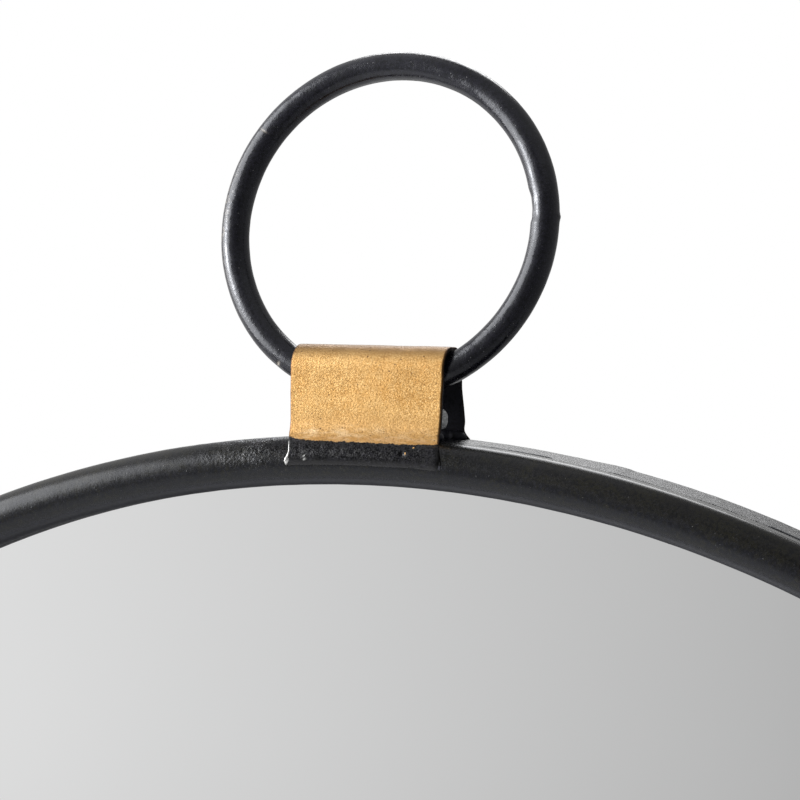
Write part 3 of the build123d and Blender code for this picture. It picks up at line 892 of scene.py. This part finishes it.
def strap_grid(line, curve_share):
    """Points of one side of the strap, from its line in the y-z plane."""
    y, r = line[:, :1], line[:, 1:]
    ragged = noise(np.stack([line[:, 0], line[:, 1], 0 * line[:, 0]], 1), 2.2, 21)[:, None]
    x = (left + right)[:, None] / 2 + (right - left)[:, None] / 2 * share[None, :]
    x = x + 0.07 * ragged * np.abs(share) ** 6
    z = r - curve_share[:, None] * (r - np.sqrt(r**2 - x**2))
    return np.stack([x, y + 0 * x, z], -1)


outer, inner = strap_grid(path, curve), strap_grid(inside, curve)
nrm = unit(outer - inner)
h = 0.045 * noise(outer, 6.0, 22) + 0.02 * noise(outer, 1.9, 23) - 0.03
h = h - edge_drop[None, :] * np.minimum(1, thickness[:, None] / STRAP_T)
on_lap = step(path_z, 240.6, 238.6) * is_front
dents = 0.025 * noise(outer, 1.6, 24) + 0.022 * noise(outer, 0.6, 27)
h = h + (on_lap * feather)[:, None] * (dents + 0.10 * np.minimum(noise(outer, 0.8, 28) + 0.35, 0))
# dings and drips in the lap's paint: place, height, size
DINGS = (
    (-11.8, 235.6, 0.20, 0.28), (-12.0, 236.3, 0.14, 0.24), (-8.4, 238.0, -0.2, 0.3),
    (9.6, 237.0, -0.3, 0.45), (9.0, 237.5, 0.16, 0.3), (14.2, 234.9, -0.2, 0.3),
    (16.2, 238.3, 0.22, 0.3), (13.4, 237.9, 0.2, 0.3), (5.0, 236.4, -0.15, 0.3),
)
for x, z, tall, wide in DINGS:
    away = ((outer[..., 0] - x) ** 2 + (1.6 * (outer[..., 2] - z)) ** 2) / wide**2
    h = h + tall * is_front[:, None] * np.exp(-away)
lip = bell(path_z, 235.5, 0.75) * is_front
h = h + 0.24 * lip[:, None] * bell(share, -1.0, 0.035)[None, :]
outer = outer + nrm * h[..., None]
px, pz = outer[..., 0], outer[..., 2]
# the wavy lower limit of the gold in front; behind it is level
GOLD_LIMIT_REAR = 243.0
limit_x = [-16.5, -15.2, -13.1, -9.6, -6.2, -4.0, -1.4, 1.5, 4.4, 7.0, 9.5, 12.3, 15.0, 16.7]
limit_z = [
    239.75, 239.53, 239.32, 239.14, 239.14, 239.21, 239.20,
    239.09, 239.08, 239.06, 239.04, 239.02, 239.09, 239.15,
]
limit = np.where(is_front[:, None], np.interp(px, limit_x, limit_z), GOLD_LIMIT_REAR)
above = pz - limit
edge = (1 - np.abs(share))[None, :] * HALF_STRAP  # mm from the nearer side
on_left = (share < 0)[None, :]
width = (0.14 + 0.50 * lip)[:, None]
down = (step(path_z, 239.7, 239.2) * step(path_z, 234.5, 235.0) * is_front)[:, None]
bare = on_left * step(edge, width + 0.08, width) * down * (0.6 + 0.4 * lip)[:, None]
# bare metal, and where shine is 0 flecks of gold in the black: place, size, shine
FLECK_LIFT = 3.5
SPOTS = (
    (-11.6, 235.45, 0.24, 0.9), (-11.75, 236.15, 0.16, 0.7),
    (12.0, 238.4, 0.15, 0.0), (10.4, 237.2, 0.22, 0.0),
)
for x, z, wide, shine in SPOTS:
    spot = np.exp(-(((px - x) ** 2 + (pz - z) ** 2) / wide**2) ** 2) * is_front[:, None]
    bare = np.maximum(bare, shine * spot)
    above = above + (shine == 0) * FLECK_LIFT * spot
wobble = 0.35 * noise(outer, 1.1, 29)
in_black = (step(path_z, 239.6, 239.0) * is_front)[:, None]
# painted shadow: a dark groove in the black, where the lap's raised right edge stands off the rim
shadow_groove = bell(px, 17.55 + 0.8 * wobble + 0.2 * step(pz, 237.0, 235.5), 0.5) * in_black
blots = step(noise(outer, 0.8, 30), 0.42, 0.6) * bell(px, 15.6, 1.3) * in_black
# painted shade along the strap's rolled edges
edge_shade = step(edge + 0.10 * noise(outer, 0.9, 35), 0.40, 0.20) * (above > -0.2)
dark = np.clip(np.maximum(np.maximum(shadow_groove, 0.8 * blots), edge_shade), 0, 1)
outer = outer - nrm * (0.2 * np.clip(shadow_groove, 0, 1))[..., None]
o = ribbon("HangerStrap", outer, inner, above, bare, dark)
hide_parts("hanger_strap")

# the hooks' saddles, lapped over the rim in the same way
half_span = math.asin(SADDLE_HALF / SADDLE_MID)
for side, place in HOOKS.items():
    a = np.linspace(LAP_START, math.radians(105.0), 80)
    rise = SADDLE_OUT - RIM_R - BEAD - LAP_LIFT - 0.02
    over = LAP_LIFT + rise * step(a, math.radians(35), math.radians(88))
    arc = np.stack([RIM_Y - (BEAD + over) * np.cos(a), RIM_R + (BEAD + over) * np.sin(a)], 1)
    arc = arc[(arc[:, 0] < RIM_Y) | (arc[:, 1] > SADDLE_OUT - 0.03)]
    line = resample(np.concatenate([arc, [[BAND_BACK - 1.2, SADDLE_OUT - 0.02]]]), 0.36)
    thick = LAP_T + (STRAP_T - LAP_T) * step(line[:, 1], 237.5, SADDLE_OUT)
    within = inner_path(line, np.where(line[:, 0] < RIM_Y - 0.5, thick, STRAP_T))
    sh = across(64, (0.0, 0.12, 0.32, 0.7))
    spread = half_span * sh[None, :] + math.radians(place) + 0 * line[:, :1]

    def polar(q, spread=spread):
        return np.stack([q[:, 1:] * np.cos(spread), q[:, :1] + 0 * spread, q[:, 1:] * np.sin(spread)], -1)

    outer, inner = polar(line), polar(within)
    nrm = unit(outer - inner)
    drop = EDGE_DROP * np.maximum(0, 1 - (1 - np.abs(sh)) * SADDLE_HALF / EDGE_ROUND) ** 2
    h = 0.04 * noise(outer, 5.0, 25) + 0.02 * noise(outer, 1.7, 26) - 0.05 - drop[None, :]
    outer = outer + nrm * h[..., None]
    above = np.where(line[:, 0] < RIM_Y, line[:, 1] - 239.1, 5.0)[:, None] + 0 * spread
    o = ribbon(f"HookSaddle_{side}", outer[:, ::-1], inner[:, ::-1], above[:, ::-1])
    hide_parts(f"hook_saddle_{side}")

# ---- hooks


WIRE_R, BALL_R, HOOK_RISE, FLARE = 2.95, 5.44, 5.5, 1.89


def tube(c, radii, cols=40):
    """Rings of points round a path c in a y-z plane, as a grid."""
    u = np.array([1.0, 0, 0])
    v = np.cross(unit(np.gradient(c, axis=0)), u)
    b = np.linspace(0, 2 * math.pi, cols, endpoint=False)[None, :, None]
    return c[:, None] + radii[:, None, None] * (np.cos(b) * u + np.sin(b) * v[:, None])


for side, place in HOOKS.items():
    x = SADDLE_MID * math.cos(math.radians(place))
    top = -math.sqrt(SADDLE_OUT**2 - x**2)
    bend_z = top - HOOK_SHANK
    down = np.arange(top + 0.6, bend_z, -0.45)
    turn = np.linspace(0, math.pi, 90)
    rise = np.arange(0.4, HOOK_TIP + HOOK_RISE - 0.05, 0.22)
    yz = np.concatenate([
        np.stack([down * 0 + HOOK_Y, down], 1),
        np.stack([HOOK_Y - HOOK_BEND + HOOK_BEND * np.cos(turn), bend_z - HOOK_BEND * np.sin(turn)], 1),
        np.stack([rise * 0 + HOOK_Y - 2 * HOOK_BEND, bend_z + rise], 1),
    ])
    c = np.insert(yz, 0, x, axis=1)
    s = lengths(c)
    r = np.full(len(c), WIRE_R)
    n_shank = len(down) + len(turn)
    d = (c[:, 2] - (bend_z + HOOK_TIP))[n_shank:]
    ball = np.sqrt(np.maximum(BALL_R**2 - d**2, 0))
    r[n_shank:] = np.where(d < 0, np.maximum(WIRE_R, ball), ball)
    r[-1] = 0.3
    near = np.abs(s - s[n_shank + np.argmax(ball > WIRE_R)]) < 1.5
    r = np.where(near, np.convolve(np.pad(r, 4, mode="edge"), np.ones(9) / 9, "valid"), r)
    # the weld that flares out at the saddle
    fall = top - c[:, 2]
    flare = FLARE * np.exp(-np.maximum(fall, 0) / 1.3) * (np.arange(len(c)) < n_shank)
    g = tube(c, r)
    lump = flare[:, None] * (1 + 0.25 * noise(g, 1.4, 31)) + 0.03 * noise(g, 5.0, 32)
    lump = lump + 0.012 * noise(g, 1.6, 33) - 0.03
    g = g + unit(g - c[:, None]) * lump[..., None]
    # it stops at the saddle's round outside
    roof = -np.sqrt(np.maximum((SADDLE_OUT + 0.03) ** 2 - g[..., 0] ** 2, 1))
    g[..., 2] = np.where(np.arange(len(c))[:, None] < len(down) // 2, np.minimum(g[..., 2], roof), g[..., 2])
    o = make(f"Hook_{side}", *closed_tube(g), "frame", "black_paint", [BLACK_RING])
    paint(o, wear=g[..., 0] * 0, dark=g[..., 0] * 0)
    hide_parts(f"hook_{side}")

# ---- welds of the hanging strap


def weld_run(y, z, half, seed, floor, radius=1.35, cols=22):
    """A bead of weld along X with the ripples of its puddles; it sinks to follow the round frame."""
    s = np.linspace(-half, half, 150)
    wander = 0.15 * noise(np.stack([s, s * 0, s * 0], 1), 5.0, seed)
    c = np.stack([s, y + wander, z - (floor - np.sqrt(floor**2 - s**2))], 1)
    b = np.linspace(0, 2 * math.pi, cols, endpoint=False)
    end = np.sqrt(np.clip(1 - (np.abs(s) / half) ** 14, 0.02, 1))
    r = radius * end * (1 + 0.04 * np.sin(s * 3.1) + 0.08 * noise(c, 3.0, seed + 1))
    r = r[:, None]
    return closed_tube(np.stack([c[:, :1] + 0 * b, c[:, 1:2] + r * np.cos(b), c[:, 2:] + r * np.sin(b)], -1))


parts = [
    weld_run(STRAP_FRONT + STRAP_T + 0.7, 240.9, 16.6, 41, 240.3),
    weld_run(BACK_LEG_Y - STRAP_T - 0.5, 240.3, 17.3, 44, 239.8),
]
# the grey blob that shows in the loop
n, m, pole = 40, 28, 0.04
turns = np.linspace(0, 2 * math.pi, n, endpoint=False)
u, v = np.meshgrid(turns, np.linspace(pole, math.pi - pole, m), indexing="ij")
ball = np.stack([np.sin(v) * np.cos(u), np.sin(v) * np.sin(u), np.cos(v)], -1)
blob = np.array([15.75, STRAP_FRONT + STRAP_T + 0.95, 244.0])
shape = ball * np.array([0.85, 0.62, 1.15]) * (1.85 + 0.3 * noise(ball * 2.2, 1.3, 47)[..., None])
poles = [[i * m for i in range(n)], [i * m + m - 1 for i in range(n)][::-1]]
parts.append(((blob + shape).reshape(-1, 3), grid_faces(n, m, True, False) + poles))
points, faces = joined(parts)
of_blob = len(parts[-1][1])
index = [0] * (len(faces) - of_blob) + [1] * of_blob
o = make("StrapWelds", points, faces, "frame", "black_paint", [BLACK_LIT_INSIDE, WELD], index)
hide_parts("strap_welds")

# ---- floor, light and camera


FLOOR_R, FLOOR_Z = 3.0, -0.55  # metres


def stage_floor():
    """A pale floor that takes the shadow and fades into the white backdrop."""
    n = Nodes("Floor")
    patches = n.remap(n.noise(60.0, 4.0, 0.6), 0.3, 0.7)
    n.set(color=n.mix(patches, (0.70, 0.70, 0.70), (0.73, 0.73, 0.73)), rough=0.9)
    path, glow = n.new("LightPath"), n.new("Emission")
    # to the camera it is half white by itself; to gloss it glows white on the left and grey on the right:
    # painted light, a pool of it on the floor's left under the key lamps
    camera_ray, glossy_ray = path.outputs["Is Camera Ray"], path.outputs["Is Glossy Ray"]
    painted_floor_light = n.remap(n.axis(0), 500.0, -350.0, 0.30, 1.12)
    n.link(n.math("MAXIMUM", camera_ray, n.times(glossy_ray, painted_floor_light)), glow.inputs["Strength"])
    share = n.math("MAXIMUM", n.times(camera_ray, 0.5), n.times(glossy_ray, 0.9))
    lit = n.blend(share, n.shader.outputs[0], glow.outputs[0])
    clear = n.new("BsdfTransparent").outputs[0]
    n.link(n.blend(n.remap(n.radius((1.0, 1.0, 0.0)), 900.0, 2300.0), lit, clear), n.out.inputs["Surface"])
    place = (0, 0, FLOOR_Z)
    bpy.ops.mesh.primitive_circle_add(vertices=128, radius=FLOOR_R, fill_type="NGON", location=place)
    o = bpy.context.object
    o.name = "Floor"
    o.data.materials.append(n.mat)


stage_floor()


WHITE, FILL = (1.0, 1.0, 1.0), 0.33  # FILL: the room's light on matt surfaces


def studio_world():
    """White to the camera. Gloss sees a room, white behind and to the left, grey to the front right."""
    world = bpy.data.worlds.new("Studio")
    bpy.context.scene.world = world
    world.use_nodes = True
    n = Tree(world.node_tree)
    path, sep = n.new("LightPath"), n.new("SeparateXYZ")
    n.link(n.new("TexCoord").outputs["Generated"], sep.inputs[0])
    x, y, z = sep.outputs
    ramp = n.new("ValToRGB")
    turn = n.math("ARCTAN2", n.times(x, -1.0), n.times(y, -1.0))
    n.link(n.math("MULTIPLY_ADD", turn, 1 / (2 * math.pi), 0.5), ramp.inputs[0])
    # angle from the mirror's own view, towards the left, in degrees, and the grey there
    stops = (
        (-180, 0.36), (-125, 0.34), (-95, 0.30), (-35, 0.15), (0, 0.23), (12, 0.49), (28.8, 0.76),
        (40, 0.86), (62, 0.80), (95, 0.95), (122, 0.95), (145, 0.5), (165, 0.38), (180, 0.36),
    )
    e = ramp.color_ramp.elements
    for deg, grey in stops:
        pos = deg / 360 + 0.5
        item = e[0] if pos == 0 else e[-1] if pos == 1 else e.new(pos)
        item.color = (grey, grey, grey, 1)
    # the white backdrop, low down behind the mirror
    backdrop = n.times(n.remap(y, 0.45, 0.85), n.remap(x, 0.02, -0.16))
    for low, high in ((-0.04, 0.02), (0.36, 0.10)):
        backdrop = n.times(backdrop, n.remap(z, low, high))
    # soft grey light overhead, and a little less light low down
    overhead = n.times(n.remap(z, 0.36, 0.76), 0.45)
    dimming = n.math("SUBTRACT", 1.0, n.times(n.remap(z, -0.16, -0.42), 0.3))
    tone = n.math("MAXIMUM", n.times(ramp.outputs[0], dimming), overhead)

    def sky(color, strength=1.0):
        b = n.new("Background")
        n.put(b.inputs[0], color)
        b.inputs[1].default_value = strength
        return b.outputs[0]

    unseen = n.blend(path.outputs["Is Glossy Ray"], sky(WHITE, FILL), sky(n.mix(backdrop, tone, WHITE)))
    seen = n.math("MAXIMUM", path.outputs["Is Camera Ray"], path.outputs["Is Transmission Ray"])
    n.link(n.blend(seen, unseen, sky(WHITE)), n.new("OutputWorld").inputs[0])


studio_world()


def lamp(name, place, height, size, tall, watts):
    """An oval area lamp that looks at a height on the mirror's upright axis, in metres."""
    d = bpy.data.lights.new(name, "AREA")
    d.energy, d.size, d.shape, d.size_y = watts, size, "ELLIPSE", tall
    o = bpy.data.objects.new(name, d)
    bpy.context.scene.collection.objects.link(o)
    o.location = place
    o.rotation_euler = (Vector((0, 0, height)) - Vector(place)).to_track_quat("-Z", "Y").to_euler()
    o.visible_camera = False
    return o


soft_boxes = [
    lamp("KeyLeft", (-2.00, -0.78, 0.76), 0.2, 2.8, 2.65, 90.0),
    lamp("KeyCore", (-1.90, -0.88, 0.63), 0.2, 0.78, 0.66, 24.0),
]
lamp("BackTop", (-0.38, 1.5, 1.55), 0.1, 1.14, 1.2, 16.5)

# the glass doesn't mirror the soft boxes themselves
unmirrored = bpy.data.collections.new("Unmirrored")
unmirrored.objects.link(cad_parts["mirror_glass"])
unmirrored.collection_objects[0].light_linking.link_state = "EXCLUDE"
for o in soft_boxes:
    o.light_linking.receiver_collection = unmirrored

# the photo's view: yaw, tilt and roll, the lens in pixels, and the place in units of the opening's radius
FOCAL, FRAME, SENSOR = 2700, 800, 36
OPENING_R = 0.23
VIEW_PLACE = (0.04012, 1.07527, 2.46989)
yaw, tilt, roll = math.radians(20.391), math.radians(2.859), math.radians(-0.557)
toward = Vector((math.sin(yaw) * math.cos(tilt), -math.cos(yaw) * math.cos(tilt), math.sin(tilt)))
level = Vector((math.cos(yaw), math.sin(yaw), 0))
upward = toward.cross(level)
right_axis = level * math.cos(roll) - upward * math.sin(roll)
up_axis = level * math.sin(roll) + upward * math.cos(roll)
data = bpy.data.cameras.new("Camera")
data.lens = FOCAL / FRAME * SENSOR
data.clip_start, data.clip_end = 0.01, 50
camera = bpy.data.objects.new("Camera", data)
bpy.context.scene.collection.objects.link(camera)
turn = Matrix((right_axis, up_axis, toward)).transposed()
place = Vector((0, RIM_Y * MM, 0)) + OPENING_R * (turn @ Vector(VIEW_PLACE))
camera.matrix_world = Matrix.Translation(place) @ turn.to_4x4()
bpy.context.scene.camera = camera

bpy.context.scene.view_settings.view_transform = "Standard"
